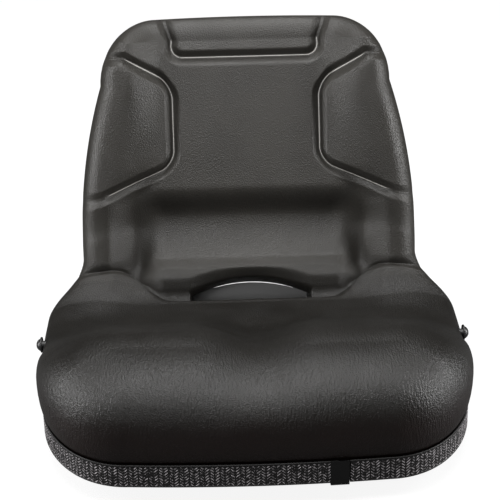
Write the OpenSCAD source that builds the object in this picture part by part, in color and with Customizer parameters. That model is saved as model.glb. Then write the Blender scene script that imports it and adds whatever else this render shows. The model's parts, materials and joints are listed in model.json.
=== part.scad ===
// Tractor seat: a one-piece moulded cushion on a pressed steel pan, with an edge trim and a drain slot.
// Millimetres. +Z is up, +Y runs to the back, X is across. The origin is the middle of the four
// mounting holes on the underside of the pan, so the mounting face is z = 0.
// The skin is drawn flat first: x across, s along the seat from the front rim to the top rim,
// h out of the pan. It is then bent along the side line of the rim.

/* [Side line] */
// Front rim, distance in front of the mounting centre
front_reach = 200; // [170:1:230]
// Rim height above the mounting face, which is also the depth of the pan under the seat
rim_z = 40; // [30:1:50]
// Straight length of the seat rim
seat_run = 325; // [280:1:360]
// Radius of the bend between seat and back, at the rim
bend_r = 112; // [90:1:140]
// Angle turned between seat and back
bend_turn = 79; // [70:1:85]
// Straight length of the back rim
back_run = 308; // [250:1:380]

/* [Outline] */
// Half width at the front corners
front_half_w = 254; // [220:1:280]
// Extra half width at the hips
hip_extra = 7; // [0:0.5:10]
// Half width lost between hips and back
hip_step = 44; // [20:1:60]
// Half width lost towards the top
top_taper = 34; // [10:1:60]
// Front corner, across
front_corner_x = 110; // [80:1:150]
// Front corner, along
front_corner_s = 172; // [100:1:200]
// Bow of the front edge
front_bow = 6; // [0:0.5:12]
// Top corner, across
top_corner_x = 66; // [40:1:100]
// Top corner, along
top_corner_s = 78; // [40:1:100]

/* [Cushion] */
// How far the sides swell past the rim
bulge = 8; // [3:0.5:14]
// Height of the widest line above the rim
widest_h = 50; // [35:1:60]
// Height of the sitting dish above the rim
dish_h = 57; // [45:1:70]
// Height of the front crest above the rim
crest_h = 101; // [80:1:115]
// Extra height of the two thigh humps
hump_h = 27; // [0:1:35]
// Height of the middle field of the back
field_h = 61; // [45:1:70]
// Height of the swell for the lower back
lumbar_h = 75; // [60:1:85]
// Height of the side ridges of the back
bolster_h = 85; // [70:1:100]
// Width of the roll from the sides to the seat
seat_roll = 72; // [50:1:90]
// Width of the roll from the sides to the back
back_roll = 21; // [15:1:35]

/* [Panel grooves] */
// Half distance between the upright grooves
groove_x = 97; // [80:1:110]
// Half width of a groove
groove_w = 10; // [7:0.5:12]
// Depth of a groove
groove_d = 7.5; // [4:0.5:10]
// Lower line of the head panel, below the top rim
head_line = 42; // [35:1:60]
// Upper line of the side panels, below the top rim
upper_line = 76; // [60:1:110]
// Lower line of the side panels, below the top rim
lower_line = 182; // [150:1:210]

/* [Drain slot] */
// Half length of the slot at the surface
slot_half = 82; // [60:1:90]
// Front edge of the slot, along the seat
slot_s = 370; // [355:1:385]
// Height of the arch over the slot
slot_arch = 43; // [35:1:60]
// Half length of the slot in the pan
pan_slot_half = 70; // [50:1:74]
// Lower edge of the slot in the pan, along the seat
pan_slot_s = 425; // [415:1:435]
// Height of the slot in the pan
pan_slot_h = 22; // [16:1:40]

/* [Pan] */
// Sheet thickness
sheet = 1.6; // [1.2:0.1:2.5]
// Depth of the pan behind the back
back_dish = 20; // [14:1:30]
// Width of the flat shoulder under the rim
shoulder = 11; // [8:1:16]
// Depth of the turned-down lip
lip_h = 11.4; // [7:0.1:14]

/* [Edge trim] */
// Height of the outer leg
trim_h = 28; // [20:1:34]
// Outer leg thickness
trim_t = 2; // [1.5:0.1:3]
// Sleeve over the trim joint, offset to the right of the middle
sleeve_x = 88; // [60:1:110]
// Length of the sleeve
sleeve_len = 21; // [14:1:30]

/* [Mounting] */
// Distance between mounting holes across
mount_x = 286; // [260:1:300]
// Distance between mounting holes front to back
mount_y = 203; // [180:1:210]
// Radius of the mounting holes
mount_r = 4.5; // [4:0.1:5.5]
// Thickness of the mounting bars
bar_t = 3; // [2.5:0.1:4]

/* [Side bolts] */
// Height of the bolt axis above the mounting face
bolt_z = 80; // [75:1:90]
// Distance of the bolt axis behind the mounting centre
bolt_y = 50; // [30:1:70]
// Radius of the domed head
head_r = 8.2; // [7:0.1:10]
// Height of the domed head
head_t = 5.8; // [4:0.1:8]

/* [Hidden] */
$fn = 48;

bend_len = bend_r * bend_turn * PI / 180;
total_s = seat_run + bend_len + back_run;
bend_end = seat_run + bend_len;
top_start = total_s - top_corner_s;
inner_front_x = front_half_w - front_corner_x;
gap = 0.6;
bed_lift = 3;
bed_slot_rise = 1.5;
bar_w = 30;
bar_len = 226;
nut_h = 6.5;
nut_t = 8;
leg_x = front_half_w + hip_extra - 24;
leg_t = 3;
foot_len = 17;
bracket_w = 40;
bracket_h = 52;
washer_t = 2;
core_front = 72;
core_top = 20;
black = [0.10, 0.10, 0.10];
steel = [0.16, 0.16, 0.17];
zinc = [0.75, 0.76, 0.78];

// Plain helpers.
function mix(a, b, t) = a + (b - a) * t;
function unit(t) = min(1, max(0, t));
function ease(t) = let (u = unit(t)) u * u * (3 - 2 * u);
function hill(a, c, w) = exp(-pow((a - c) / w, 2));
function steps(a, b, n) = [for (i = [0 : n - 1]) mix(a, b, i / n)];

// The side line of the rim: turned angle, then the bent position of a flat point.
function turned(s) = unit((s - seat_run) / bend_len) * bend_turn;
function line_y(s) =
  -front_reach + min(s, seat_run) + bend_r * sin(turned(s)) + max(0, s - bend_end) * cos(bend_turn);
function line_z(s) =
  rim_z + bend_r * (1 - cos(turned(s))) + max(0, s - bend_end) * sin(bend_turn);
function bent(x, s, h) =
  let (a = turned(s)) [x, line_y(s) - h * sin(a), line_z(s) + h * cos(a)];

// Half width of the rim between the corners.
function side_w(s) =
  let (u = max(s, front_corner_s), b = unit((u - bend_end) / (top_start - bend_end)))
  front_half_w + hip_extra * ease((u - front_corner_s) / 120)
    - hip_step * ease((u - seat_run + 7) / (bend_len + 9)) - top_taper * pow(b, 2.2);
// The washer lies on the skin where the cushion is widest beside the bolt.
face_x = side_w(bolt_y + front_reach) + bulge + 0.6;
top_half_w = side_w(top_start);
inner_top_x = top_half_w - top_corner_x;
// Path length from the middle to the middle of each corner.
front_path = inner_front_x + 0.87 * front_corner_x;
top_path = inner_top_x + 0.76 * top_corner_x;
front_join = front_corner_s * (1 - cos(45));
top_join = top_start + top_corner_s * sin(45);
function front_edge(c) =
  let (l = abs(c) * front_path, t = 45 * (l - inner_front_x) / (front_path - inner_front_x))
  l < inner_front_x
    ? [sign(c) * l, front_bow * (pow(l / inner_front_x, 2) - 1)]
    : [sign(c) * (inner_front_x + front_corner_x * sin(t)), front_corner_s * (1 - cos(t))];
function top_edge(c) =
  let (l = abs(c) * top_path, t = 90 - 45 * (l - inner_top_x) / (top_path - inner_top_x))
  l < inner_top_x
    ? [sign(c) * l, total_s + 2 * (1 - pow(l / inner_top_x, 2))]
    : [sign(c) * (inner_top_x + top_corner_x * cos(t)), top_start + top_corner_s * sin(t)];
function side_edge(s) =
  s < front_corner_s
    ? [inner_front_x + front_corner_x * sqrt(1 - pow(1 - s / front_corner_s, 2)), s]
    : s > top_start
      ? [inner_top_x + top_corner_x * sqrt(1 - pow((s - top_start) / top_corner_s, 2)), s]
      : [side_w(s), s];

// Lines of the side panels and the head panel, as distances along the seat.
function low_line(x) = total_s - lower_line - 0.42 * max(0, x - groove_x);
function high_line(x) = total_s - upper_line + 0.6 * max(0, x - groove_x);
function head_line_s(x) = total_s - head_line + 0.25 * max(0, x - groove_x);
function squeeze(x) = min(1, max(0.45, (head_line_s(x) - high_line(x)) / (upper_line - head_line)));
// Front and rear edge of the drain slot, running out into the crease between seat and back.
function slot_front(x) = slot_s + 70 * ease((x - 112) / 66);
function slot_rear(x) = slot_front(x) + 6 + slot_arch * max(0, 1 - pow(x / slot_half, 2));

// Rounded meeting of edges, then the section of a groove.
function dome(d, r) = r - sqrt(sum_sq([for (v = d) max(0, r - v)]));
function sum_sq(d, i = 0) = i == len(d) ? 0 : d[i] * d[i] + sum_sq(d, i + 1);
function groove(d) = -groove_d * pow(1 - pow(unit(abs(d) / groove_w), 2), 2);

// Height of the seat and of the back over the rim.
function seat_h(x, s) =
  dish_h + (crest_h - dish_h) * (1 - ease((s - 60) / 200))
    + hump_h * ease((s - 25) / 115) * (1 - ease((s - 190) / 115)) * ease((x - 2) / 64)
      * (1 - 0.4 * ease((x - 150) / 100))
    + 12 * ease((x - 125) / 60) * ease((s - 290) / 110)
    - 16 * pow(unit(1 - (slot_front(x) - s) / 34), 2) * ease((150 - x) / 60);
function back_h(x, s) =
  let (
    inner = 1 - ease((x - 95) / 65),
    start = mix(165, 95, ease((s - 555) / 50)),
    rise = ease((x - start) / (side_w(s) - 24 - start))
  )
  field_h - 6 * hill(s, 548, 26) * inner + (lumbar_h - field_h + 4) * ease((545 - s) / 65) * inner
    - 9 * ease((560 - s) / 50) * ease((x - 100) / 50)
    - 14 * pow(unit(1 - (s - slot_rear(x)) / 30), 2)
    + (bolster_h - field_h + 9 * ease((560 - s) / 50)) * rise;
function panel_h(x, s) =
  let (
    fade = 1 - ease((x - side_w(s) + 30) / 16),
    side = dome([x - groove_x, 0.92 * (s - low_line(x)), 0.86 * (high_line(x) - s)], 18),
    head = dome([groove_x - 2 - x + 0.06 * (total_s - s), s - head_line_s(0)], 16)
  )
  min(groove(side) * fade, groove(head));
function top_h(xx, s) =
  let (x = abs(xx))
  (2 * s < slot_front(x) + slot_rear(x) ? seat_h(x, s) : back_h(x, s))
    - 8 * exp(-pow((s - slot_front(x) - 3) / 12, 2)) * ease((x - 150) / 20)
    + panel_h(x, s) - 5 * ease((s - total_s + 48) / 48);

// Rows of the skin. The first number names the band, the second is the place in the band.
rows = concat(
  [for (i = [0 : 16]) [0, i / 16]],
  [for (i = [0 : 12]) [1, pow(i / 12, 1.25)]],
  [for (i = [1 : 4]) [2, i / 4]],
  [for (i = [1 : 4]) [3, i / 4]],
  [for (i = [1 : 4]) [4, i / 4]],
  [[5, 1]],
  [for (i = [1 : 4]) [6, i / 4]],
  [for (i = [1 : 2]) [7, i / 2]]
);
slot_row = 16;
function row_s(r, x, first, va, vb) =
  let (g = groove_w, q = g * squeeze(x), t = r[1])
  r[0] == 0 ? mix(first, va, t)
  : r[0] == 1 ? mix(vb, low_line(x) - g, t)
  : r[0] == 2 ? low_line(x) - g + 2 * g * t
  : r[0] == 3 ? mix(low_line(x) + g, high_line(x) - q, t)
  : r[0] == 4 ? high_line(x) - q + 2 * q * t
  : r[0] == 5 ? head_line_s(x) - q
  : r[0] == 6 ? head_line_s(x) - q + 2 * q * t
  : mix(head_line_s(x) + q, max(total_s - core_top, head_line_s(x) + q + 2), t);
function skin_s(r, x) = row_s(r, x, core_front, slot_front(x), slot_rear(x));
function roll_w(s) = mix(seat_roll, back_roll, ease((s - 330) / 180));
function front_draw(r, s) = r[0] == 0 ? 0.13 * (1 - ease((s - core_front) / 110)) : 0;
function core_w(r, n = 6, x = 180) =
  let (s = skin_s(r, x))
  n == 0 ? x
    : core_w(r, n - 1, (side_w(s) - roll_w(s)) * (1 - front_draw(r, s)) - 10 * ease((s - total_s + 60) / 40));

// Columns of the skin, from the middle outwards.
inner_cols = concat(steps(0, slot_half, 4), [slot_half],
  [for (i = [-2 : 2]) groove_x + i * groove_w / 2]);
half_cols = len(inner_cols) - 1 + 5;
slot_cols = 4;
function col_x(i, w) =
  let (k = abs(i), m = len(inner_cols) - 1)
  sign(i) * (k <= m ? inner_cols[k] : mix(inner_cols[m], w, (k - m) / 5));
skin_grid = [for (r = rows) let (w = core_w(r))
  [for (i = [-half_cols : half_cols]) let (x = col_x(i, w)) [x, skin_s(r, abs(x))]]];

// A grid's edge as a loop: front, right side, top, left side.
function loop_of(g) =
  let (m = len(g) - 1, n = len(g[0]) - 1)
  concat(g[0], [for (j = [1 : m]) g[j][n]], [for (i = [n - 1 : -1 : 0]) g[m][i]],
    [for (j = [m - 1 : -1 : 1]) g[j][0]]);
function side_place(g, j) =
  let (n = len(g[0]) - 1, m = len(g) - 1)
  mix(front_join, top_join, (g[j][n][1] - g[0][n][1]) / (g[m][n][1] - g[0][n][1]));
function rim_of(g) =
  let (m = len(g) - 1, n = len(g[0]) - 1)
  concat(
    [for (i = [0 : n]) front_edge(g[0][i][0] / g[0][n][0])],
    [for (j = [1 : m - 1]) side_edge(side_place(g, j))],
    [for (i = [n : -1 : 0]) top_edge(g[m][i][0] / g[m][n][0])],
    [for (j = [m - 1 : -1 : 1]) let (p = side_edge(side_place(g, j))) [-p[0], p[1]]]
  );
function out_of(loop) =
  let (n = len(loop))
  [for (k = [0 : n - 1]) let (d = loop[(k + 1) % n] - loop[(k + n - 1) % n]) [d[1], -d[0]] / norm(d)];

rim = rim_of(skin_grid);
rim_out = out_of(rim);
core_loop = loop_of(skin_grid);
core_loop_h = [for (p = core_loop) top_h(p[0], p[1])];
loop_n = len(rim);

// One ring of the skin: the rim moved out, then bent.
function ring(loop, out, o, h) =
  [for (k = [0 : len(loop) - 1]) let (p = loop[k] + out[k] * o) bent(p[0], p[1], h)];
function swell_h(k) = min(widest_h, 0.55 * core_loop_h[k]);
tuck_h = trim_h / 2 + 0.8;
function low_ring(a) =
  [for (k = [0 : loop_n - 1])
    let (p = rim[k] + rim_out[k] * mix(-0.6, bulge, sin(a)))
    bent(p[0], p[1], mix(tuck_h, swell_h(k), 1 - cos(a)))];
function roll_ring(a) =
  let (u = 1 - pow(cos(a), 0.89), v = pow(sin(a), 0.89))
  [for (k = [0 : loop_n - 1])
    let (p = mix(rim[k] + rim_out[k] * bulge, core_loop[k], u))
    bent(p[0], p[1], mix(swell_h(k), core_loop_h[k], v))];
top_rings = concat(
  [ring(rim, rim_out, -0.6, gap)],
  [for (a = [0, 30, 60]) low_ring(a)],
  [for (i = [0 : 6]) roll_ring(i * 90 / 7)]
);

// The coarser skin under the cushion and of the pan, with its own slot.
kept_rows = [0, 1, 2, 3, 4, 6, 8, 11, 12, 13, 14, 15, 16, 17, 20, 23, 29, 33, 35, 37, 41, 46, 48];
kept_half = [0, 1, 2, 3, 4, 9, 10, 11, 12, 13, 14];
kept_cols = concat([for (i = [len(kept_half) - 1 : -1 : 1]) -kept_half[i]], kept_half);
kept_slot_row = 12;
wall_run = 34;
function wall_of(s) = mix(wall_run, 16, ease((s - 330) / 160));
function dish_of(s) = mix(rim_z, back_dish, ease((s - seat_run) / bend_len));
function under_w(r, va, vb, n = 6, x = 200) =
  let (s = drawn_in(row_s(r, x, shoulder + wall_run + 4, va, vb)), e = side_edge(s))
  n == 0 ? x : under_w(r, va, vb, n - 1, e[0] - shoulder - 2 - wall_of(s)
    - 14 * (1 - ease((s - 40) / 90)) - 8 * ease((s - total_s + 70) / 50));
function drawn_in(s) =
  s - max(0, s - bend_end) * (shoulder + 21 - core_top) / (total_s - core_top - bend_end);
function under_grid(half, lo, hi, lo_arch, hi_arch) =
  [for (j = kept_rows) let (r = rows[j], edge = 430, w = under_w(r, edge, edge + 8))
    [for (i = kept_cols)
      let (
        k = abs(i),
        x = k <= 4 ? k * half / 4 : mix(half, w, pow((k - 8) / 6, 0.9)),
        t = max(0, 1 - pow(x / half, 2)),
        f = ease((x - half - 4) / 50),
        va = mix(lo, edge, f) + lo_arch * t,
        vb = mix(hi, edge + 8, f) + hi_arch * t
      )
      [sign(i) * x, drawn_in(row_s(r, x, shoulder + wall_run + 4, va, vb))]]];
pan_grid = under_grid(pan_slot_half, pan_slot_s, pan_slot_s + pan_slot_h, 10, 6);
bed_grid = under_grid(slot_half - 2, slot_s + 34, pan_slot_s + bed_slot_rise, 0, 9);

// Where the coarse loop takes its points from the fine one.
row_n = len(rows) - 1;
col_n = 2 * half_cols;
kept_loop = concat(
  [for (i = kept_cols) i + half_cols],
  [for (j = [1 : len(kept_rows) - 1]) col_n + kept_rows[j]],
  [for (i = [len(kept_cols) - 2 : -1 : 0]) col_n + row_n + half_cols - kept_cols[i]],
  [for (j = [len(kept_rows) - 2 : -1 : 1]) 2 * col_n + row_n + row_n - kept_rows[j]]
);
coarse_rim = [for (k = kept_loop) rim[k]];
coarse_out = [for (k = kept_loop) rim_out[k]];
coarse_n = len(kept_loop);

// Rings between the rim and a grid under the cushion: shoulder, wall, foot of the wall.
function wall_ring(grid_loop, u, v, lift) =
  [for (k = [0 : coarse_n - 1])
    let (a = coarse_rim[k] - coarse_out[k] * (shoulder + 2), p = mix(a, grid_loop[k], u), d = dish_of(p[1]))
    bent(p[0], p[1], lift - (d - sheet) * v)];
function grid_points(g, lift) =
  [for (r = g) for (p = r) bent(p[0], p[1], lift - dish_of(p[1]) + sheet)];

// Faces. Every list of corner numbers runs the same way round, seen from the sitting side.
function ring_ids(base, n) = [for (k = [0 : n - 1]) base + k];
function edge_ids(base, nc, nr) =
  concat([for (i = [0 : nc]) base + i], [for (j = [1 : nr]) base + j * (nc + 1) + nc],
    [for (i = [nc - 1 : -1 : 0]) base + nr * (nc + 1) + i],
    [for (j = [nr - 1 : -1 : 1]) base + j * (nc + 1)]);
function band(a, b) =
  [for (k = [0 : len(a) - 1]) let (m = (k + 1) % len(a))
    each [[a[k], b[m], a[m]], [a[k], b[k], b[m]]]];
// Faces the same way as band(a, b), but is split as band(b, a), so a sheet's two sides match.
function band_back(a, b) = mirrored(band(b, a));
// A quad is split along the corners that differ least in height, so a groove keeps its line.
function quad(a, b, c, d, h) =
  abs(h[a] - h[c]) <= abs(h[b] - h[d]) + 1.5
    ? [[a, c, b], [a, d, c]]
    : [[a, d, b], [b, d, c]];
function sheet_faces(base, nc, nr, hole_row, reach, h, flip) =
  [for (j = [0 : nr - 1]) for (i = [0 : nc - 1])
    if (!(j == hole_row && i >= nc / 2 - reach && i < nc / 2 + reach))
      let (a = j * (nc + 1) + i, b = a + nc + 1)
      for (t = i < nc / 2 ? quad(a, a + 1, b + 1, b, h) : mirrored(quad(a + 1, a, b, b + 1, h)))
        flip ? [t[2] + base, t[1] + base, t[0] + base] : [t[0] + base, t[1] + base, t[2] + base]];
function mirrored(q) = [for (t = q) [t[2], t[1], t[0]]];
function hole_ids(base, nc, row, reach) =
  concat([for (i = [nc / 2 - reach : nc / 2 + reach]) base + row * (nc + 1) + i],
    [for (i = [nc / 2 + reach : -1 : nc / 2 - reach]) base + (row + 1) * (nc + 1) + i]);

// From the fine loop down to the coarse loop.
function gather(a, b) =
  [for (m = [0 : coarse_n - 1])
    let (k0 = kept_loop[m], k1 = kept_loop[(m + 1) % coarse_n], e = k1 > k0 ? k1 : k1 + loop_n)
    each concat(
      [for (k = [k0 : e - 1]) [a + (k + 1) % loop_n, b + m, a + k % loop_n]],
      [[a + e % loop_n, b + (m + 1) % coarse_n, b + m]]
    )];
coarse_nr = len(kept_rows) - 1;
coarse_nc = len(kept_cols) - 1;

module skin_body() {
  flat = [for (r = skin_grid) each r];
  heights = [for (p = flat) top_h(p[0], p[1])];
  fine = [for (i = [0 : len(flat) - 1]) bent(flat[i][0], flat[i][1], heights[i])];
  bed_edge = loop_of(bed_grid);
  bed = [for (r = bed_grid) each r];
  under = [
    ring(coarse_rim, coarse_out, -shoulder - 2, gap),
    wall_ring(bed_edge, 0.45, 0.5, bed_lift),
    wall_ring(bed_edge, 0.8, 0.9, bed_lift)
  ];
  grid_base = len(top_rings) * loop_n;
  under_base = grid_base + len(fine);
  bed_base = under_base + len(under) * coarse_n;
  polyhedron(
    concat([for (r = top_rings) each r], fine, [for (r = under) each r], grid_points(bed_grid, bed_lift)),
    concat(
      [for (i = [0 : len(top_rings) - 2])
        each band(ring_ids(i * loop_n, loop_n), ring_ids((i + 1) * loop_n, loop_n))],
      band(ring_ids(grid_base - loop_n, loop_n), edge_ids(grid_base, col_n, row_n)),
      sheet_faces(grid_base, col_n, row_n, slot_row, slot_cols, heights, false),
      gather(0, under_base),
      [for (i = [0 : len(under) - 2])
        let (b = under_base + i * coarse_n)
        each band_back(ring_ids(b + coarse_n, coarse_n), ring_ids(b, coarse_n))],
      band_back(edge_ids(bed_base, coarse_nc, coarse_nr), ring_ids(bed_base - coarse_n, coarse_n)),
      sheet_faces(bed_base, coarse_nc, coarse_nr, kept_slot_row, slot_cols, [for (p = bed) 0], true),
      band(hole_ids(grid_base, col_n, slot_row, slot_cols),
        hole_ids(bed_base, coarse_nc, kept_slot_row, slot_cols))
    ),
    convexity = 12
  );
}

module cushion() {
  color(black) difference() {
    skin_body();
    for (side = [-1, 1]) {
      translate([side * mount_x / 2 - bar_w / 2 - 2, -bar_len / 2 - 3, 0])
        cube([bar_w + 4, bar_len + 6, sheet + bar_t + nut_h + 2]);
      scale([side, 1, 1]) {
        translate([leg_x - nut_t - 3, bolt_y - bracket_w / 2 - 3, rim_z - 1])
          cube([nut_t + leg_t + 5, bracket_w + 6, bracket_h + 2.5]);
        translate([leg_x - 2, bolt_y - bracket_w / 2 - 3, rim_z - 4])
          cube([foot_len + 5, bracket_w + 6, leg_t + 6]);
        translate([leg_x, bolt_y, bolt_z]) rotate([0, 90, 0]) cylinder(h = 40, r = 5.6);
      }
    }
  }
}

module seat_pan() {
  flat = [for (r = pan_grid) each r];
  edge = loop_of(pan_grid);
  inner = 2 + sheet;
  rings = [
    wall_ring(edge, 0.8, 0.9, -sheet * 1.2),
    wall_ring(edge, 0.45, 0.5, -sheet * 1.4),
    ring(coarse_rim, coarse_out, -shoulder - 2.5, -sheet),
    ring(coarse_rim, coarse_out, -inner, -sheet),
    ring(coarse_rim, coarse_out, -inner, -lip_h),
    ring(coarse_rim, coarse_out, -2, -lip_h),
    ring(coarse_rim, coarse_out, -2, 0),
    ring(coarse_rim, coarse_out, -shoulder - 2, 0),
    wall_ring(edge, 0.45, 0.5, 0),
    wall_ring(edge, 0.8, 0.9, 0)
  ];
  ring_base = len(flat);
  upper_base = ring_base + len(rings) * coarse_n;
  level = [for (p = flat) 0];
  color(steel) difference() {
    polyhedron(
      concat(grid_points(pan_grid, -sheet), [for (r = rings) each r], grid_points(pan_grid, 0)),
      concat(
        band_back(edge_ids(0, coarse_nc, coarse_nr), ring_ids(ring_base, coarse_n)),
        [for (i = [0 : len(rings) - 2])
          let (a = ring_ids(ring_base + i * coarse_n, coarse_n), b = [for (k = a) k + coarse_n])
          each i < 2 ? band_back(a, b) : band(a, b)],
        band(ring_ids(upper_base - coarse_n, coarse_n), edge_ids(upper_base, coarse_nc, coarse_nr)),
        sheet_faces(0, coarse_nc, coarse_nr, kept_slot_row, slot_cols, level, true),
        sheet_faces(upper_base, coarse_nc, coarse_nr, kept_slot_row, slot_cols, level, false),
        band(hole_ids(upper_base, coarse_nc, kept_slot_row, slot_cols),
          hole_ids(0, coarse_nc, kept_slot_row, slot_cols))
      ),
      convexity = 10
    );
    for (x = [-1, 1], y = [-1, 1])
      translate([x * mount_x / 2, y * mount_y / 2, -1]) cylinder(h = sheet + 2, r = mount_r);
  }
}

// A bent strip of constant section with closed ends. path holds [x, s], out the way the section's
// first number runs, lift the height its second number starts from.
section_caps = [[0, 1, 2], [0, 2, 3], [0, 3, 4], [0, 4, 7], [4, 5, 6], [4, 6, 7]];
module edging(path, out, lift, section) {
  n = len(path);
  m = len(section);
  polyhedron(
    [for (k = [0 : n - 1]) for (q = section)
      let (p = path[k] + out[k] * q[0]) bent(p[0], p[1], lift[k] + q[1])],
    concat(
      [for (k = [0 : n - 2]) for (i = [0 : m - 1]) let (a = k * m + i, b = k * m + (i + 1) % m)
        each [[a, b, b + m], [a, b + m, a + m]]],
      [for (t = section_caps) [t[2], t[1], t[0]]],
      [for (t = section_caps) [t[0] + (n - 1) * m, t[1] + (n - 1) * m, t[2] + (n - 1) * m]]
    ),
    convexity = 10
  );
}

module edge_trim() {
  half = trim_h / 2;
  outer = 1.6 + trim_t;
  lip_in = -2 - sheet - 0.4;
  section = [[outer, -half], [outer, half], [1.6, half], [1.6, -half + 2.4], [lip_in, -half + 2.4],
    [lip_in, -half + 10], [lip_in - 2, -half + 10], [lip_in - 2, -half]];
  before = [for (k = [0 : coarse_nc - 1]) if (coarse_rim[k][0] < sleeve_x) k];
  first = before[len(before) - 1];
  a = coarse_rim[first];
  b = coarse_rim[first + 1];
  cut = [for (x = [sleeve_x + 0.8, sleeve_x - 0.8]) mix(a, b, (x - a[0]) / (b[0] - a[0]))];
  cut_out = mix(coarse_out[first], coarse_out[first + 1], (sleeve_x - a[0]) / (b[0] - a[0]));
  path = concat([cut[0]], [for (k = [1 : coarse_n]) coarse_rim[(first + k) % coarse_n]], [cut[1]]);
  out = concat([cut_out], [for (k = [1 : coarse_n]) coarse_out[(first + k) % coarse_n]], [cut_out]);
  color(black) edging(path, out, [for (p = path) 0], section);
}

module trim_joint_sleeve() {
  half = trim_h / 2;
  outer = 1.6 + trim_t + 0.4;
  inner = -2 - sheet - 2.2 - 0.4;
  wall = 1.3;
  bow_s = front_bow * (pow(sleeve_x / inner_front_x, 2) - 1);
  turn = atan(2 * front_bow * sleeve_x / (inner_front_x * inner_front_x));
  color(black)
    translate([sleeve_x, bow_s - front_reach, rim_z]) rotate([0, 0, turn])
      rotate([90, 0, -90]) translate([0, 0, -sleeve_len / 2]) linear_extrude(sleeve_len)
        polygon([[outer, half + 0.6], [outer + wall, half + 0.6], [outer + wall, -half - 0.4 - wall],
          [inner - wall, -half - 0.4 - wall], [inner - wall, -half + 8], [inner, -half + 8],
          [inner, -half - 0.4], [outer, -half - 0.4]]);
}

module slot_trim() {
  row = kept_slot_row;
  mid = coarse_nc / 2;
  low = [for (i = [-1, 1]) pan_grid[row][mid + i * slot_cols]];
  high = [for (i = [-slot_cols : slot_cols]) pan_grid[row + 1][mid + i]];
  path = concat([low[0]], high, [low[1]]);
  out = [for (k = [0 : len(path) - 1])
    [k < 2 ? -1 : k > len(path) - 3 ? 1 : 0, k == 0 || k == len(path) - 1 ? 0 : 1]];
  play = 0.75;
  wall = 1.2;
  reach = 3.5;
  web = -play - wall;
  section = [[web, -sheet + web], [web, -web], [reach, -web], [reach, play], [-play, play],
    [-play, -sheet - play], [reach, -sheet - play], [reach, -sheet + web]];
  color(black) edging(path, out, [for (p = path) sheet - dish_of(p[1])], section);
}

module hex_nut(flat, h, bore) {
  difference() {
    cylinder(h = h, r = flat / 2 / cos(30), $fn = 6);
    translate([0, 0, -1]) cylinder(h = h + 2, r = bore);
  }
}

module mount_bar(side) {
  color(steel) translate([side * mount_x / 2, 0, sheet + 0.05]) difference() {
    union() {
      translate([-bar_w / 2, -bar_len / 2 + bar_w / 2, 0]) cube([bar_w, bar_len - bar_w, bar_t]);
      for (y = [-1, 1]) translate([0, y * (bar_len - bar_w) / 2, 0]) cylinder(h = bar_t, r = bar_w / 2);
    }
    for (y = [-1, 1]) translate([0, y * mount_y / 2, -1]) cylinder(h = bar_t + 2, r = mount_r);
  }
}

module mount_nuts(side) {
  color(zinc) for (y = [-1, 1])
    translate([side * mount_x / 2, y * mount_y / 2, sheet + bar_t + 0.1]) hex_nut(13, nut_h, 4);
}

module side_bracket(side) {
  color(steel) scale([side, 1, 1]) translate([leg_x, bolt_y - bracket_w / 2, rim_z + 0.05]) difference() {
    union() {
      cube([leg_t, bracket_w, bracket_h]);
      cube([foot_len, bracket_w, leg_t]);
    }
    translate([-1, bracket_w / 2, bolt_z - rim_z - 0.05]) rotate([0, 90, 0]) cylinder(h = leg_t + 2, r = 5.2);
  }
}

module side_nut(side) {
  color(zinc) scale([side, 1, 1]) translate([leg_x - nut_t - 0.05, bolt_y, bolt_z]) rotate([0, 90, 0])
    hex_nut(17, nut_t, 5.2);
}

module side_washer(side) {
  color(black) scale([side, 1, 1]) translate([face_x, bolt_y, bolt_z]) rotate([0, 90, 0]) difference() {
    cylinder(h = washer_t, r = 10);
    translate([0, 0, -1]) cylinder(h = washer_t + 2, r = 5.3);
  }
}

module side_bolt(side) {
  head_x = face_x + washer_t + 0.05;
  ball_r = (head_r * head_r + head_t * head_t) / (2 * head_t);
  color(black) scale([side, 1, 1]) translate([head_x, bolt_y, bolt_z]) rotate([0, 90, 0]) difference() {
    union() {
      intersection() {
        translate([0, 0, head_t - ball_r]) sphere(r = ball_r);
        cylinder(h = head_t + 1, r = head_r + 1);
      }
      translate([0, 0, leg_x - nut_t - 2 - head_x]) cylinder(h = head_x - leg_x + nut_t + 2.5, r = 5);
    }
    translate([0, 0, head_t - 3]) cylinder(h = 4, r = 3.4, $fn = 6);
  }
}

cushion();
seat_pan();
edge_trim();
trim_joint_sleeve();
slot_trim();
mount_bar(-1);  // mount_bar_left
mount_bar(1);  // mount_bar_right
mount_nuts(-1);  // mount_nuts_left
mount_nuts(1);  // mount_nuts_right
side_bracket(-1);  // side_bracket_left
side_bracket(1);  // side_bracket_right
side_nut(-1);  // side_nut_left
side_nut(1);  // side_nut_right
side_washer(-1);  // side_washer_left
side_washer(1);  // side_washer_right
side_bolt(-1);  // side_bolt_left
side_bolt(1);  // side_bolt_right
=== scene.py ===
"""Looks of the tractor seat: a one-piece moulded vinyl cushion on a pressed steel pan.

The skin is drawn flat (x across, s along the seat from the front rim, h out of the pan) and bent along
the side line of the rim, with the same lines as the CAD part, at a finer pitch. Lengths in this file are
millimetres until a mesh is made.
"""

import json
import math

import bpy
import numpy as np
from mathutils import Matrix, Vector


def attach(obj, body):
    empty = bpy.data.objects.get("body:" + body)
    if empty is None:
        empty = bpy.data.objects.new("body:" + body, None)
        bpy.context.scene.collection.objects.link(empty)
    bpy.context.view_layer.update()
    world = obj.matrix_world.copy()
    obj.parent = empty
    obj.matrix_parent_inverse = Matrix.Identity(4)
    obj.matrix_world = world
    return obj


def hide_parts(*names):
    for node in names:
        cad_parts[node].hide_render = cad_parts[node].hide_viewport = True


MM = 0.001

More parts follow.
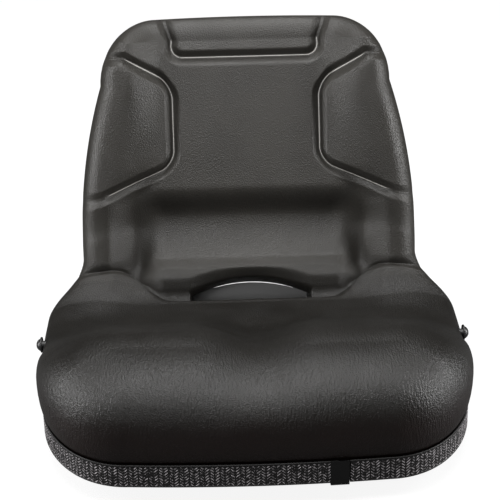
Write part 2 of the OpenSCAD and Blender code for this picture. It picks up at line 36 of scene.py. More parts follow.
# Dimensions of the CAD part.
FRONT_REACH, RIM_Z, SEAT_RUN = 200.0, 40.0, 325.0
BEND_R, BEND_TURN, BACK_RUN = 112.0, math.radians(79), 308.0
FRONT_HALF_W, HIP_EXTRA, HIP_STEP, TOP_TAPER = 254.0, 7.0, 44.0, 34.0
FRONT_CORNER_X, FRONT_CORNER_S, FRONT_BOW = 110.0, 172.0, 6.0
TOP_CORNER_X, TOP_CORNER_S = 66.0, 78.0
BULGE, WIDEST_H, DISH_H, CREST_H, HUMP_H = 8.0, 50.0, 57.0, 101.0, 27.0
FIELD_H, BOLSTER_H, SEAT_ROLL, BACK_ROLL = 61.0, 85.0, 72.0, 21.0
GROOVE_X, GROOVE_W = 97.0, 10.0
HEAD_LINE, UPPER_LINE, LOWER_LINE = 42.0, 76.0, 182.0
SLOT_HALF, SLOT_S, SLOT_ARCH, PAN_SLOT_S = 82.0, 370.0, 43.0, 425.0
SHEET, BACK_DISH = 1.6, 20.0
TRIM_H, TRIM_T, SLEEVE_X = 28.0, 2.0, 88.0
CORE_FRONT, CORE_TOP, BED_LIFT = 72.0, 20.0, 3.0

# Forms that only the scene has: a higher front crest, the hollow under the field, deeper grooves, the weave.
FRONT_RISE, HOLLOW_H, LUMBAR_TOP, GROOVE_DEEP = 9.0, 43.0, 77.0, 10.0
FIELD_LEAN, HIP_SWELL, SLOT_DIP_FRONT, SLOT_DIP_REAR = 15.0, 24.0, 16.0, 14.0
WEAVE_COLUMN, WEAVE_ROW, WEAVE_DEEP = 5.6, 3.6, 0.9
TRIM_STEP, TRIM_LAYER = 1.25, 0.72

BEND_LEN = BEND_R * BEND_TURN
BEND_END = SEAT_RUN + BEND_LEN
TOTAL_S = BEND_END + BACK_RUN
TOP_START = TOTAL_S - TOP_CORNER_S


# Plain helpers.
def mix(a, b, t):
    return a + (b - a) * t


def unit(t):
    return np.clip(t, 0.0, 1.0)


def ease(t):
    u = unit(t)
    return u * u * (3 - 2 * u)


def hill(a, centre, width):
    return np.exp(-(((a - centre) / width) ** 2))


def turned(s):
    return unit((s - SEAT_RUN) / BEND_LEN) * BEND_TURN


def bent(x, s, h):
    """The flat point (x, s, h), bent along the side line of the rim."""
    x, s, h = np.broadcast_arrays(np.asarray(x, float), np.asarray(s, float), np.asarray(h, float))
    a = turned(s)
    rest = np.maximum(0, s - BEND_END)
    y = -FRONT_REACH + np.minimum(s, SEAT_RUN) + BEND_R * np.sin(a) + rest * math.cos(BEND_TURN)
    z = RIM_Z + BEND_R * (1 - np.cos(a)) + rest * math.sin(BEND_TURN)
    return np.stack([x, y - h * np.sin(a), z + h * np.cos(a)], -1)


# The rim.
def side_w(s):
    u = np.maximum(s, FRONT_CORNER_S)
    b = unit((u - BEND_END) / (TOP_START - BEND_END))
    return (
        FRONT_HALF_W
        + HIP_EXTRA * ease((u - FRONT_CORNER_S) / 120)
        - HIP_STEP * ease((u - SEAT_RUN + 7) / (BEND_LEN + 9))
        - TOP_TAPER * b**2.2
    )


INNER_FRONT_X = FRONT_HALF_W - FRONT_CORNER_X
INNER_TOP_X = float(side_w(TOP_START)) - TOP_CORNER_X
FRONT_PATH = INNER_FRONT_X + 0.87 * FRONT_CORNER_X
TOP_PATH = INNER_TOP_X + 0.76 * TOP_CORNER_X
FRONT_JOIN = FRONT_CORNER_S * (1 - math.cos(math.pi / 4))
TOP_JOIN = TOP_START + TOP_CORNER_S * math.sin(math.pi / 4)


def front_edge(c):
    way = np.abs(c) * FRONT_PATH
    t = math.pi / 4 * unit((way - INNER_FRONT_X) / (FRONT_PATH - INNER_FRONT_X))
    flat = way < INNER_FRONT_X
    x = np.where(flat, way, INNER_FRONT_X + FRONT_CORNER_X * np.sin(t))
    s = np.where(flat, FRONT_BOW * ((way / INNER_FRONT_X) ** 2 - 1), FRONT_CORNER_S * (1 - np.cos(t)))
    return np.stack([np.sign(c) * x, s], -1)


def top_edge(c):
    way = np.abs(c) * TOP_PATH
    t = math.pi / 2 - math.pi / 4 * unit((way - INNER_TOP_X) / (TOP_PATH - INNER_TOP_X))
    flat = way < INNER_TOP_X
    x = np.where(flat, way, INNER_TOP_X + TOP_CORNER_X * np.cos(t))
    s = np.where(flat, TOTAL_S + 2 * (1 - (way / INNER_TOP_X) ** 2), TOP_START + TOP_CORNER_S * np.sin(t))
    return np.stack([np.sign(c) * x, s], -1)


def side_edge(s):
    front = INNER_FRONT_X + FRONT_CORNER_X * np.sqrt(np.maximum(0, 1 - (1 - s / FRONT_CORNER_S) ** 2))
    top = INNER_TOP_X + TOP_CORNER_X * np.sqrt(np.maximum(0, 1 - ((s - TOP_START) / TOP_CORNER_S) ** 2))
    return np.stack([np.where(s < FRONT_CORNER_S, front, np.where(s > TOP_START, top, side_w(s))), s], -1)


# Lines of the panels and of the slot.
def low_line(x):
    return TOTAL_S - LOWER_LINE - 0.42 * np.maximum(0, x - GROOVE_X)


def high_line(x):
    return TOTAL_S - UPPER_LINE + 0.6 * np.maximum(0, x - GROOVE_X)


def head_line_s(x):
    return TOTAL_S - HEAD_LINE + 0.25 * np.maximum(0, x - GROOVE_X)


def squeeze(x):
    return np.clip((head_line_s(x) - high_line(x)) / (UPPER_LINE - HEAD_LINE), 0.45, 1)


def slot_front(x):
    return SLOT_S + 70 * ease((x - 112) / 66)


def slot_rear(x):
    return slot_front(x) + 6 + SLOT_ARCH * np.maximum(0, 1 - (x / SLOT_HALF) ** 2)


def dome(parts, r):
    return r - np.sqrt(sum(np.maximum(0, r - v) ** 2 for v in parts))


def seat_h(x, s):
    """The dish of the seat, the front crest with its two thigh humps, and the dip in front of the slot."""
    hump = ease((s - 20) / 100) * (1 - ease((s - 190) / 115))
    across = ease((x - 2) / 70) * (1 - 0.4 * ease((x - 150) / 100))
    return (
        DISH_H
        + (CREST_H + FRONT_RISE - DISH_H) * (1 - ease((s - 60) / 200))
        + (HUMP_H - FRONT_RISE) * hump * across
        + HIP_SWELL * ease((x - 135) / 70) * ease((s - 270) / 130)
        - SLOT_DIP_FRONT * unit(1 - (slot_front(x) - s) / 34) ** 2 * ease((150 - x) / 60)
    )


def back_h(x, s):
    """The back: a field that leans back, a hollow under its lower edge, the lumbar swell and the ridges."""
    inner = 1 - ease((x - 112) / 40)
    start = mix(150, 95, ease((s - 555) / 50))
    rise = ease((x - start) / (side_w(s) - 24 - start))
    field = FIELD_H + FIELD_LEAN * np.clip((650 - s) / 150, -0.9, 0.62)
    hollow = field + (HOLLOW_H - field) * ease((577 - s) / 45)
    middle = hollow + (LUMBAR_TOP - HOLLOW_H) * ease((532 - s) / 92)
    side = FIELD_H - 15 * ease((565 - s) / 50) * ease((x - 100) / 40) * ease((s - 400) / 60)
    return (
        mix(side, middle, inner)
        - SLOT_DIP_REAR * unit(1 - (s - slot_rear(x)) / 34) ** 2 * (1 - 0.8 * ease((x - 125) / 45))
        + (BOLSTER_H - FIELD_H + 9 * ease((560 - s) / 50)) * rise
    )


def groove(d, width=GROOVE_W):
    """A trough with a narrow bottom and a thin bead along it."""
    u = unit(np.abs(d) / width)
    return -GROOVE_DEEP * (1 - u) ** 1.45 * (1 + 0.55 * u) + 1.8 * hill(d, 0, 0.95)


def panel_lines(x, s):
    """Distance from the line of the side panel and from that of the head panel."""
    side = dome([x - GROOVE_X, 0.92 * (s - low_line(x)), 0.86 * (high_line(x) - s)], 18)
    head = dome([GROOVE_X - 2 - x + 0.06 * (TOTAL_S - s), s - head_line_s(0)], 16)
    return side, head


def bead_highlight_mask(across, s):
    """1 on the bead of a groove, 0 away from it: where the painted highlight of the bead goes."""
    x = np.abs(across)
    side, head = panel_lines(x, s)
    fade = 1 - ease((x - side_w(s) + 34) / 14)
    return np.maximum(hill(side, 0, 0.75) * fade, hill(head, 0, 0.75))


def panel_h(x, s):
    fade = 1 - ease((x - side_w(s) + 30) / 16)
    side, head = panel_lines(x, s)
    return np.minimum(groove(side) * fade, groove(head))


def top_h(across, s):
    x = np.abs(across)
    front = 2 * s < slot_front(x) + slot_rear(x)
    return (
        np.where(front, seat_h(x, s), back_h(x, s))
        - 5 * hill(s, slot_front(x) + 3, 9) * ease((x - 150) / 20)
        + panel_h(x, s)
        - 5 * ease((s - TOTAL_S + 48) / 48)
    )


# Rows and columns of the skin. A row runs between key lines that follow the slot and the grooves.
def key_lines(x):
    q = GROOVE_W * squeeze(x)
    head = head_line_s(x)
    high = high_line(x)
    low = low_line(x)
    return [
        np.full_like(x, CORE_FRONT),
        slot_front(x),
        slot_rear(x),
        low - 1.2 * GROOVE_W,
        low + 2.4 * GROOVE_W,
        high - 2.4 * q,
        high + q,
        head - q,
        head + q,
        np.maximum(TOTAL_S - CORE_TOP, head + q + 2),
    ]


ROW_STEPS = [110, 1, 62, 36, 16, 34, 5, 20, 7]
SLOT_ROW = ROW_STEPS[0]


def row_places():
    """For every row, the key line it starts from and its share of the way to the next."""
    places = [(k, i / n) for k, n in enumerate(ROW_STEPS) for i in range(n)]
    return places + [(len(ROW_STEPS) - 1, 1.0)]


def row_s(place, x):
    k, t = place
    lines = key_lines(x)
    return mix(lines[k], lines[k + 1], t)


def roll_w(s):
    return mix(SEAT_ROLL, BACK_ROLL, ease((s - 330) / 180))


def core_w(place):
    x = np.array([180.0])
    for _ in range(6):
        s = row_s(place, x)
        draw = 0.13 * (1 - ease((s - CORE_FRONT) / 110)) if place[0] == 0 else 0.0
        x = (side_w(s) - roll_w(s)) * (1 - draw) - 10 * ease((s - TOTAL_S + 60) / 40)
    return float(x[0])


INNER_COLS = np.concatenate(
    [np.linspace(0, SLOT_HALF, 21), [SLOT_HALF + 2.5], np.linspace(87, 127, 41)]
)
OUTER_STEPS = 14
SLOT_COLS = 20


def columns(w):
    half = np.concatenate([INNER_COLS, mix(INNER_COLS[-1], w, np.arange(1, OUTER_STEPS + 1) / OUTER_STEPS)])
    return np.concatenate([-half[:0:-1], half])


def skin_grid():
    """Flat points of the core of the skin, as rows by columns by (x, s)."""
    rows = []
    for place in row_places():
        x = columns(core_w(place))
        rows.append(np.stack([x, row_s(place, np.abs(x))], -1))
    return np.array(rows)


def loop_of(g):
    return np.concatenate([g[0], g[1:, -1], g[-1, -2::-1], g[-2:0:-1, 0]])


def rim_of(g):
    share = (g[:, -1, 1] - g[0, -1, 1]) / (g[-1, -1, 1] - g[0, -1, 1])
    side = side_edge(mix(FRONT_JOIN, TOP_JOIN, share))[1:-1]
    left = side[::-1] * [-1, 1]
    front = front_edge(g[0, :, 0] / g[0, -1, 0])
    top = top_edge(g[-1, ::-1, 0] / g[-1, -1, 0])
    return np.concatenate([front, side, top, left])


def out_of(loop):
    d = np.roll(loop, -1, 0) - np.roll(loop, 1, 0)
    n = np.stack([d[:, 1], -d[:, 0]], -1)
    return n / np.linalg.norm(n, axis=1, keepdims=True)


class Surface:
    """Collects points and faces of one mesh."""

    def __init__(self):
        self.flat = []
        self.marks = []
        self.count = 0
        self.faces = []

    def add(self, x, s, h, mark=0.0):
        x, s, h = np.broadcast_arrays(np.asarray(x, float), np.asarray(s, float), np.asarray(h, float))
        self.flat.append(np.stack([x.ravel(), s.ravel(), h.ravel()], -1))
        self.marks.append(np.broadcast_to(mark, x.shape).ravel())
        ids = np.arange(self.count, self.count + x.size).reshape(x.shape)
        self.count += x.size
        return ids

    def band(self, a, b, closed=True):
        a2, b2 = np.roll(a, -1), np.roll(b, -1)
        quads = np.stack([a, b, b2, a2], -1)
        self.faces += (quads if closed else quads[:-1]).tolist()

    def sheet(self, ids, hole_row=None, reach=0, flip=False):
        rows, cols = ids.shape
        middle = cols // 2
        for j in range(rows - 1):
            a, b = ids[j], ids[j + 1]
            quads = np.stack([a[:-1], a[1:], b[1:], b[:-1]], -1)
            if flip:
                quads = quads[:, ::-1]
            keep = np.ones(cols - 1, bool)
            if j == hole_row:
                keep[middle - reach : middle + reach] = False
            self.faces += quads[keep].tolist()

    def mesh(self, name, smooth=True):
        flat = np.concatenate(self.flat)
        data = bpy.data.meshes.new(name)
        data.from_pydata((bent(flat[:, 0], flat[:, 1], flat[:, 2]) * MM).tolist(), [], self.faces)
        data.validate()
        where = data.attributes.new("flat", "FLOAT_VECTOR", "POINT")
        where.data.foreach_set("vector", (flat * MM).astype(np.float32).ravel())
        mark = data.attributes.new("mark", "FLOAT", "POINT")
        mark.data.foreach_set("value", np.concatenate(self.marks).astype(np.float32))
        data.polygons.foreach_set("use_smooth", np.full(len(data.polygons), smooth))
        piece = bpy.data.objects.new(name, data)
        bpy.context.scene.collection.objects.link(piece)
        return piece


def hole_ids(ids, row, reach):
    middle = ids.shape[1] // 2
    near = ids[row, middle - reach : middle + reach + 1]
    far = ids[row + 1, middle - reach : middle + reach + 1]
    return np.concatenate([near, far[::-1]])


def edge_ids(ids):
    return np.concatenate([ids[0], ids[1:, -1], ids[-1, -2::-1], ids[-2:0:-1, 0]])


# The under side, shared by the bed of the cushion and the pan.
def dish_of(s):
    return mix(RIM_Z, BACK_DISH, ease((s - SEAT_RUN) / BEND_LEN))


def build_cushion():
    surface = Surface()
    grid = skin_grid()
    rim = rim_of(grid)
    out = out_of(rim)
    core = loop_of(grid)
    core_h = top_h(core[:, 0], core[:, 1])
    swell = np.minimum(WIDEST_H, 0.55 * core_h)
    tuck = TRIM_H / 2 + 0.8

    def ring(p, h):
        return surface.add(p[:, 0], p[:, 1], h)

    rings = [ring(rim - out * 9, -0.5), ring(rim - out * 0.6, 0.6)]
    for a in np.radians([0, 12, 24, 36, 48, 60, 75]):
        rings.append(ring(rim + out * mix(-0.6, BULGE, math.sin(a)), mix(tuck, swell, 1 - math.cos(a))))
    for i in range(22):
        a = i * math.pi / 2 / 22
        u, v = 1 - math.cos(a) ** 0.92, math.sin(a) ** 0.86
        rings.append(ring(mix(rim + out * BULGE, core, u), mix(swell, core_h, v)))
    for a, b in zip(rings, rings[1:]):
        surface.band(b, a)
    across, along = grid[..., 0], grid[..., 1]
    # The mark of each point places the painted highlight on the beads of the grooves.
    ids = surface.add(across, along, top_h(across, along), bead_highlight_mask(across, along))
    surface.band(edge_ids(ids), rings[-1])
    surface.sheet(ids, SLOT_ROW, SLOT_COLS)

    # Walls of the drain slot, down to the pan.
    hole = hole_ids(ids, SLOT_ROW, SLOT_COLS)
    flat = np.concatenate(surface.flat)[hole]
    bottom = flat.copy()
    half = SLOT_HALF - 2
    t = 1 - np.minimum(1, np.abs(flat[:, 0]) / SLOT_HALF) ** 2
    near = np.arange(len(hole)) < len(hole) // 2
    bottom[:, 0] = flat[:, 0] * half / SLOT_HALF
    bottom[:, 1] = np.where(near, SLOT_S + 34, PAN_SLOT_S + 1.5 + 9 * t)
    bottom[:, 2] = BED_LIFT - dish_of(bottom[:, 1]) + SHEET
    last = hole
    for k in range(1, 9):
        p = mix(flat, bottom, k / 8)
        step = surface.add(p[:, 0], p[:, 1], p[:, 2])
        surface.band(step, last)
        last = step
    return surface.mesh("cushion_skin")


def rounded(section, radius, steps=3):
    """The section with its corners rounded."""
    points = []
    n = len(section)
    for k in range(n):
        a, p, b = (np.array(section[(k + d) % n], float) for d in (-1, 0, 1))
        r = min(radius, 0.45 * np.linalg.norm(a - p), 0.45 * np.linalg.norm(b - p))
        start, end = p + (a - p) / np.linalg.norm(a - p) * r, p + (b - p) / np.linalg.norm(b - p) * r
        for i in range(steps + 1):
            t = i / steps
            points.append(mix(mix(start, p, t), mix(p, end, t), t))
    return points


def arc(across, up, radius, degrees):
    return [(across + radius * math.cos(a), up + radius * math.sin(a)) for a in np.radians(degrees)]


def resampled(loop, step):
    """The loop in even steps, and the way along it at each."""
    way = np.concatenate([[0], np.cumsum(np.linalg.norm(np.diff(loop, axis=0), axis=1))])
    places = np.linspace(0, way[-1], int(way[-1] / step) + 1)
    return np.stack([np.interp(places, way, loop[:, k]) for k in (0, 1)], -1), places


def woven(along, up):
    """Height of a herringbone weave: slanted strands in columns that lean left and right in turn."""
    column = along / WEAVE_COLUMN
    lean = np.where(np.floor(column).astype(int) % 2 == 0, 1.0, -1.0)
    across = column - np.floor(column) - 0.5
    strand = np.cos(2 * math.pi * (up / WEAVE_ROW + lean * across * 1.3))
    return unit(0.5 + 0.5 * strand) * (1 - (2 * np.abs(across)) ** 4)


def build_edge_trim():
    """The band of the trim: a woven outer face between two smooth beads, and the lip inside the pan's rim."""
    grid = skin_grid()[::2, ::2]
    rim = rim_of(grid)
    front = np.nonzero(rim[: grid.shape[1], 0] < SLEEVE_X)[0][-1]
    order = np.concatenate([np.arange(front + 1, len(rim)), np.arange(0, front + 1)])
    path, places = resampled(rim[order], TRIM_STEP)
    d = np.gradient(path, axis=0)
    out = np.stack([d[:, 1], -d[:, 0]], -1)
    out /= np.linalg.norm(out, axis=1, keepdims=True)
    half, r = TRIM_H / 2, 1.1
    outer = 1.6 + TRIM_T
    lip_in = -2 - SHEET - 0.4
    face = [(outer, q) for q in np.arange(-half + 2.2, half - 2.1, TRIM_LAYER)]
    bead = arc(outer - 1, half - r, r, (-40, -10, 20, 50, 80, 110, 150))
    foot = arc(outer - 1, r - half, r, (-110, -80, -50, -20, 10, 40))
    back = rounded(
        [
            (1.6, half - 1),
            (1.6, -half + 2.4),
            (lip_in, -half + 2.4),
            (lip_in, -half + 10),
            (lip_in - 2, -half + 10),
            (lip_in - 2, -half),
        ],
        0.5,
        2,
    )
    surface = Surface()
    rings = []
    for k, (o, q) in enumerate(foot + face + bead + back):
        strand = 0.0
        if len(foot) <= k < len(foot) + len(face):
            strand = woven(places, q)
            o = outer - 0.75 + WEAVE_DEEP * strand
        p = path + out * np.reshape(o, (-1, 1))
        rings.append(surface.add(p[:, 0], p[:, 1], q, strand))
    for a, b in zip(rings, rings[1:] + rings[:1]):
        surface.band(a, b, False)
    surface.faces.append([int(r[0]) for r in rings][::-1])
    surface.faces.append([int(r[-1]) for r in rings])
    return surface.mesh("edge_trim_band")


# Materials.
SEAT_COLOR = (0.011, 0.010, 0.0085)
# Painted light: the back's colour is lighter and greyer than the seat's.
BACK_PAINTED_LIGHT_COLOR = (0.034, 0.0315, 0.0275)
# Painted shade: the low front face is coloured darker and warmer.
SKIRT_SHADE_COLOR = (0.010, 0.0045, 0.0035)
# Painted highlight: the beads at the bottom of the grooves are coloured light grey.
BEAD_HIGHLIGHT_COLOR = (0.55, 0.53, 0.50)
ROUGH = 0.39
# Painted highlight: the tops of the woven strands are coloured light grey.
STRAND_GLINT_COLOR = (0.72, 0.68, 0.70)
TRIM_COLOR = (0.010, 0.009, 0.009)


def new_material(name):
    material = bpy.data.materials.new(name)
    material.use_nodes = True
    nodes = material.node_tree.nodes
    return material, nodes, material.node_tree.links, nodes["Principled BSDF"]


def math_node(nodes, links, kind, a, b=None):
    node = nodes.new("ShaderNodeMath")
    node.operation = kind
    for k, v in enumerate((a, b)):
        if v is None:
            continue
        if isinstance(v, (int, float)):
            node.inputs[k].default_value = v
        else:
            links.new(v, node.inputs[k])
    return node.outputs[0]


def flat_place(nodes):
    node = nodes.new("ShaderNodeAttribute")
    node.attribute_name = "flat"
    return node.outputs["Vector"]


def ramp(nodes, links, value, low, high, to_low=0.0, to_high=1.0):
    """The value, mapped smoothly from low..high to to_low..to_high."""
    node = nodes.new("ShaderNodeMapRange")
    node.interpolation_type = "SMOOTHSTEP"
    for name, number in (("From Min", low), ("From Max", high), ("To Min", to_low), ("To Max", to_high)):
        node.inputs[name].default_value = number
    links.new(value, node.inputs["Value"])
    return node.outputs["Result"]


def mix_color(nodes, links, factor, a, b, kind="MIX"):
    node = nodes.new("ShaderNodeMix")
    node.data_type = "RGBA"
    node.blend_type = kind
    links.new(factor, node.inputs["Factor"])
    colors = [s for s in node.inputs if s.type == "RGBA"]
    for v, socket in ((a, colors[0]), (b, colors[1])):
        if isinstance(v, tuple):
            socket.default_value = (*v, 1)
        else:
            links.new(v, socket)
    return [s for s in node.outputs if s.type == "RGBA"][0]


def noise_at(nodes, links, place, scale, detail=2.0, stretch=(1, 1, 1)):
    if stretch != (1, 1, 1):
        scaled = nodes.new("ShaderNodeVectorMath")
        scaled.operation = "MULTIPLY"
        scaled.inputs[1].default_value = stretch
        links.new(place, scaled.inputs[0])
        place = scaled.outputs["Vector"]
    node = nodes.new("ShaderNodeTexNoise")
    node.inputs["Scale"].default_value = scale
    node.inputs["Detail"].default_value = detail
    links.new(place, node.inputs["Vector"])
    return node.outputs["Fac"]


def vinyl():
    """Black vinyl with a fine leather grain, warm and dark at the front. Its colour carries painted light:
    the back is painted greyer and lighter than the seat, the low front face is painted darker and warmer as
    painted shade, and the beads of the grooves are painted light grey as a painted highlight.
    """
    material, nodes, links, shader = new_material("vinyl")
    place = flat_place(nodes)
    split = nodes.new("ShaderNodeSeparateXYZ")
    links.new(place, split.inputs[0])
    along, height = split.outputs["Y"], split.outputs["Z"]
    # Painted light: towards the back, over the bend, the vinyl is painted lighter and greyer than the seat.
    painted_back_light = ramp(nodes, links, along, 0.30, 0.50)
    color = mix_color(nodes, links, painted_back_light, SEAT_COLOR, BACK_PAINTED_LIGHT_COLOR)
    # Painted shade: the low front face of the seat is painted darker and warmer, towards the skirt colour.
    low = ramp(nodes, links, height, 0.085, 0.045)
    low = math_node(nodes, links, "MULTIPLY", low, ramp(nodes, links, along, 0.16, 0.02))
    color = mix_color(nodes, links, low, color, SKIRT_SHADE_COLOR)
    patches = ramp(nodes, links, noise_at(nodes, links, place, 16, 3), 0.35, 0.7)
    color = mix_color(nodes, links, patches, color, (0.82, 0.82, 0.82), "MULTIPLY")
    # Painted highlight: the beads of the grooves, carried by the mark attribute, are painted light grey.
    line = nodes.new("ShaderNodeAttribute")
    line.attribute_name = "mark"
    on_bead_highlight = ramp(nodes, links, line.outputs["Fac"], 0.35, 0.9)
    color = mix_color(nodes, links, on_bead_highlight, color, BEAD_HIGHLIGHT_COLOR)
    links.new(color, shader.inputs["Base Color"])
    rough = ramp(nodes, links, noise_at(nodes, links, place, 22, 4), 0.3, 0.75, ROUGH - 0.05, ROUGH + 0.06)
    links.new(rough, shader.inputs["Roughness"])

    cells = nodes.new("ShaderNodeTexVoronoi")
    cells.inputs["Scale"].default_value = 620
    links.new(place, cells.inputs["Vector"])
    fine = noise_at(nodes, links, place, 1500, 2)
    pebbles = math_node(nodes, links, "MULTIPLY_ADD", fine, 0.5)
    links.new(cells.outputs["Distance"], pebbles.node.inputs[2])
    strokes = noise_at(nodes, links, place, 1, 2, stretch=(480, 120, 120))
    front = ramp(nodes, links, along, 0.20, 0.06, 0.0, 2.4)
    strokes = math_node(nodes, links, "MULTIPLY", strokes, front)
    total = math_node(nodes, links, "ADD", pebbles, strokes)
    bump = nodes.new("ShaderNodeBump")
    bump.inputs["Strength"].default_value = 0.8
    bump.inputs["Distance"].default_value = 0.0005
    links.new(total, bump.inputs["Height"])
    links.new(bump.outputs["Normal"], shader.inputs["Normal"])
    return material


def woven_rubber():
    """Black woven trim: the tops of the strands are painted a lighter grey as a painted highlight, and are
    glossier.
    """
    material, nodes, links, shader = new_material("woven_trim")
    place = flat_place(nodes)
    mark = nodes.new("ShaderNodeAttribute")
    mark.attribute_name = "mark"
    # Painted highlight: the strand tops, carried by the mark attribute, are painted light grey in scattered
    # spots.
    strand_glint = ramp(nodes, links, mark.outputs["Fac"], 0.42, 0.9)
    spots = ramp(nodes, links, noise_at(nodes, links, place, 260, 2), 0.36, 0.6)
    strand_glint = math_node(nodes, links, "MULTIPLY", strand_glint, spots)
    links.new(mix_color(nodes, links, strand_glint, TRIM_COLOR, STRAND_GLINT_COLOR), shader.inputs["Base Color"])
    links.new(ramp(nodes, links, strand_glint, 0, 1, 0.55, 0.3), shader.inputs["Roughness"])
    return material


def plain(name, color, roughness, metallic=0.0, scale=300.0, depth=0.0001):
    """A plain finish with a fine noise in its roughness and surface."""
    material, nodes, links, shader = new_material(name)
    shader.inputs["Base Color"].default_value = (*color, 1)
    shader.inputs["Metallic"].default_value = metallic
    where = nodes.new("ShaderNodeTexCoord")
    noise = nodes.new("ShaderNodeTexNoise")
    noise.inputs["Scale"].default_value = scale
    noise.inputs["Detail"].default_value = 4
    links.new(where.outputs["Object"], noise.inputs["Vector"])
    spread = nodes.new("ShaderNodeMapRange")
    spread.inputs["To Min"].default_value = roughness * 0.85
    spread.inputs["To Max"].default_value = min(1.0, roughness * 1.15)
    links.new(noise.outputs["Fac"], spread.inputs["Value"])
    links.new(spread.outputs["Result"], shader.inputs["Roughness"])
    bump = nodes.new("ShaderNodeBump")
    bump.inputs["Strength"].default_value = 0.3
    bump.inputs["Distance"].default_value = depth
    links.new(noise.outputs["Fac"], bump.inputs["Height"])
    links.new(bump.outputs["Normal"], shader.inputs["Normal"])
    return material


def set_material(piece, material):
    piece.data.materials.clear()
    piece.data.materials.append(material)


def soften_node(node, width, angle=35):
    """Rounds the edges of a CAD node with modifiers, its own mesh unchanged."""
    weld = node.modifiers.new("weld", "WELD")
    weld.merge_threshold = 0.00001
    bevel = node.modifiers.new("bevel", "BEVEL")
    bevel.width = width * MM
    bevel.segments = 2
    bevel.limit_method = "ANGLE"
    bevel.angle_limit = math.radians(angle)
    bevel.harden_normals = False


# Stage.
# The photo's camera, found from the outline. The focal length is in pixels of the 500 pixel picture.
ELEVATION, AZIMUTH, ROLL = math.radians(22), math.radians(-0.9), math.radians(1.3)
TARGET = Vector((0, 50, 201.7)) * MM
DISTANCE, FOCAL, PICTURE, SENSOR, SHIFT_X = 1.56, 1260, 500, 36, -0.002


def camera():
    level = math.cos(ELEVATION)
    forward = Vector((-math.sin(AZIMUTH) * level, math.cos(AZIMUTH) * level, -math.sin(ELEVATION)))
    right = forward.cross(Vector((0, 0, 1))).normalized()
    up = right.cross(forward)
    turned_right = right * math.cos(ROLL) - up * math.sin(ROLL)
    turned_up = up * math.cos(ROLL) + right * math.sin(ROLL)
    data = bpy.data.cameras.new("camera")
    data.sensor_width = SENSOR
    data.lens = SENSOR * FOCAL / PICTURE
    data.shift_x = SHIFT_X
    data.clip_start, data.clip_end = 0.05, 50
    piece = bpy.data.objects.new("camera", data)
    bpy.context.scene.collection.objects.link(piece)
    place = Matrix((turned_right, turned_up, -forward)).transposed().to_4x4()
    place.translation = TARGET - forward * DISTANCE
    piece.matrix_world = place
    bpy.context.scene.camera = piece


def area_light(name, place, aim, size, power):
    data = bpy.data.lights.new(name, "AREA")
    data.shape = "RECTANGLE"
    data.size, data.size_y = size
    data.energy = power
    lamp = bpy.data.objects.new(name, data)
    bpy.context.scene.collection.objects.link(lamp)
    lamp.location = place
    lamp.rotation_mode = "QUATERNION"
    lamp.rotation_quaternion = (Vector(aim) - Vector(place)).to_track_quat("-Z", "Y")


WORLD_LIGHT = 0.04
FLOOR_HALF, FLOOR_Z = 6.0, -0.0005
FLOOR_COLOR = (0.1, 0.1, 0.1)
FLOOR_SEEN = (0.17, 0.17, 0.17)
# The floor glows less near the seat, so that it keeps the shadow, and is white further out.
GLOW_NEAR, GLOW_FAR = 0.88, 1.0
GLOW_FROM, GLOW_TO = 0.35, 0.75
# Name, place, point aimed at, size and power of each lamp.
LAMPS = (
    ("window_softbox", (-0.45, -1.5, 0.85), (0.0, 0.2, 0.25), (0.7, 0.4), 5),
    ("front_softbox", (-0.1, -0.6, 1.4), (0.0, 0.2, 0.33), (1.1, 0.4), 12),
    ("top_softbox", (0.0, 0.25, 1.5), (0.0, 0.05, 0.15), (1.2, 0.6), 12),
    ("left_strip", (-1.2, -0.1, 0.5), (0.0, 0.15, 0.3), (0.3, 1.1), 12),
    ("right_strip", (1.2, -0.1, 0.5), (0.0, 0.15, 0.3), (0.3, 1.1), 14),
)


def white_world():
    """A dim world, white where the camera sees it."""
    world = bpy.data.worlds.new("studio")
    bpy.context.scene.world = world
    world.use_nodes = True
    nodes, links = world.node_tree.nodes, world.node_tree.links
    nodes.clear()
    path = nodes.new("ShaderNodeLightPath")
    soft = nodes.new("ShaderNodeBackground")
    soft.inputs["Color"].default_value = (1, 1, 1, 1)
    soft.inputs["Strength"].default_value = WORLD_LIGHT
    white = nodes.new("ShaderNodeBackground")
    white.inputs["Color"].default_value = (1, 1, 1, 1)
    white.inputs["Strength"].default_value = 1.0
    blend = nodes.new("ShaderNodeMixShader")
    output = nodes.new("ShaderNodeOutputWorld")
    links.new(path.outputs["Is Camera Ray"], blend.inputs[0])
    links.new(soft.outputs[0], blend.inputs[1])
    links.new(white.outputs[0], blend.inputs[2])
    links.new(blend.outputs[0], output.inputs["Surface"])


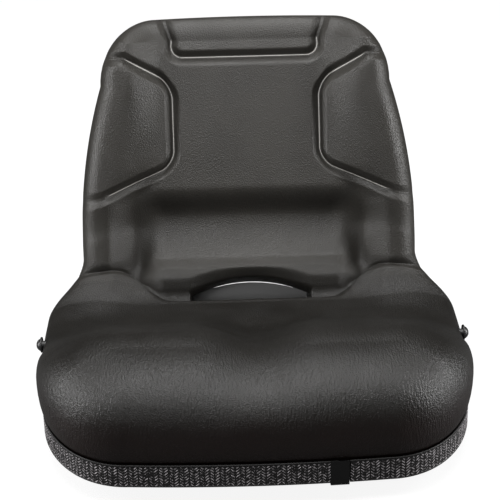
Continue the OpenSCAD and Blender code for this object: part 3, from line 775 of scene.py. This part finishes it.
def floor_material():
    """A dark floor that throws little light back, and a pale glowing one where the camera sees it."""
    material, nodes, links, shader = new_material("pale_floor")
    shader.inputs["Base Color"].default_value = (*FLOOR_COLOR, 1)
    shader.inputs["Roughness"].default_value = 0.9
    shader.inputs["Specular IOR Level"].default_value = 0.1
    path = nodes.new("ShaderNodeLightPath")
    pale = nodes.new("ShaderNodeBsdfDiffuse")
    pale.inputs["Color"].default_value = (*FLOOR_SEEN, 1)
    glow = nodes.new("ShaderNodeEmission")
    place = nodes.new("ShaderNodeTexCoord")
    reach = nodes.new("ShaderNodeVectorMath")
    reach.operation = "LENGTH"
    spread = nodes.new("ShaderNodeMapRange")
    spread.inputs["From Min"].default_value = GLOW_FROM
    spread.inputs["From Max"].default_value = GLOW_TO
    spread.inputs["To Min"].default_value = GLOW_NEAR
    spread.inputs["To Max"].default_value = GLOW_FAR
    links.new(place.outputs["Object"], reach.inputs[0])
    links.new(reach.outputs["Value"], spread.inputs["Value"])
    links.new(spread.outputs["Result"], glow.inputs["Strength"])
    seen = nodes.new("ShaderNodeAddShader")
    blend = nodes.new("ShaderNodeMixShader")
    links.new(pale.outputs[0], seen.inputs[0])
    links.new(glow.outputs[0], seen.inputs[1])
    links.new(path.outputs["Is Camera Ray"], blend.inputs[0])
    links.new(shader.outputs[0], blend.inputs[1])
    links.new(seen.outputs[0], blend.inputs[2])
    links.new(blend.outputs[0], nodes["Material Output"].inputs["Surface"])
    return material


def stage():
    white_world()
    data = bpy.data.meshes.new("floor")
    r, z = FLOOR_HALF, FLOOR_Z
    data.from_pydata([(-r, -r, z), (r, -r, z), (r, r, z), (-r, r, z)], [], [[0, 1, 2, 3]])
    floor = bpy.data.objects.new("floor", data)
    bpy.context.scene.collection.objects.link(floor)
    set_material(floor, floor_material())
    for lamp in LAMPS:
        area_light(*lamp)


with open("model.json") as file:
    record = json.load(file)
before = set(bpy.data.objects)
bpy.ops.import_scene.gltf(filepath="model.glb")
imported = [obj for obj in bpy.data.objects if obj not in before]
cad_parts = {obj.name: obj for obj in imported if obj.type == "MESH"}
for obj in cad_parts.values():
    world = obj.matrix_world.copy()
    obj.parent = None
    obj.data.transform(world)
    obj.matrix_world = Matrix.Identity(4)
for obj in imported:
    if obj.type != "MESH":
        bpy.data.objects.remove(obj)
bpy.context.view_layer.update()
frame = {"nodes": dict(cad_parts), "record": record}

cushion = build_cushion()
set_material(cushion, vinyl())
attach(cushion, "root")
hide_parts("cushion")

trim = build_edge_trim()
set_material(trim, woven_rubber())
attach(trim, "root")
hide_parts("edge_trim")

by_slot = {
    # Painted reflection: the pan's dark paint is coloured light grey, so that its lip in the drain slot shows
    # the grey it reflects.
    "pan_paint": plain("pan_paint", (0.4, 0.4, 0.4), 0.42, scale=700, depth=0.00005),
    "zinc_steel": plain("zinc", (0.6, 0.61, 0.62), 0.35, metallic=1.0),
    "black_steel": plain("black_steel", (0.02, 0.02, 0.02), 0.35),
    "sleeve_plastic": plain("sleeve", (0.003, 0.003, 0.003), 0.3),
    # Painted highlight: the slot's edging, the same trim as the black edge band, is coloured light grey for
    # the glints on it.
    "trim_rubber": plain("slot_trim", (0.30, 0.30, 0.295), 0.45, scale=600, depth=0.0003),
}
for part in frame["record"]["subparts"]:
    node = frame["nodes"][part["node"]]
    if part["material_slot"] in by_slot and not node.hide_render:
        set_material(node, by_slot[part["material_slot"]])
        soften_node(node, 0.4)

camera()
stage()
bpy.context.scene.view_settings.view_transform = "Standard"
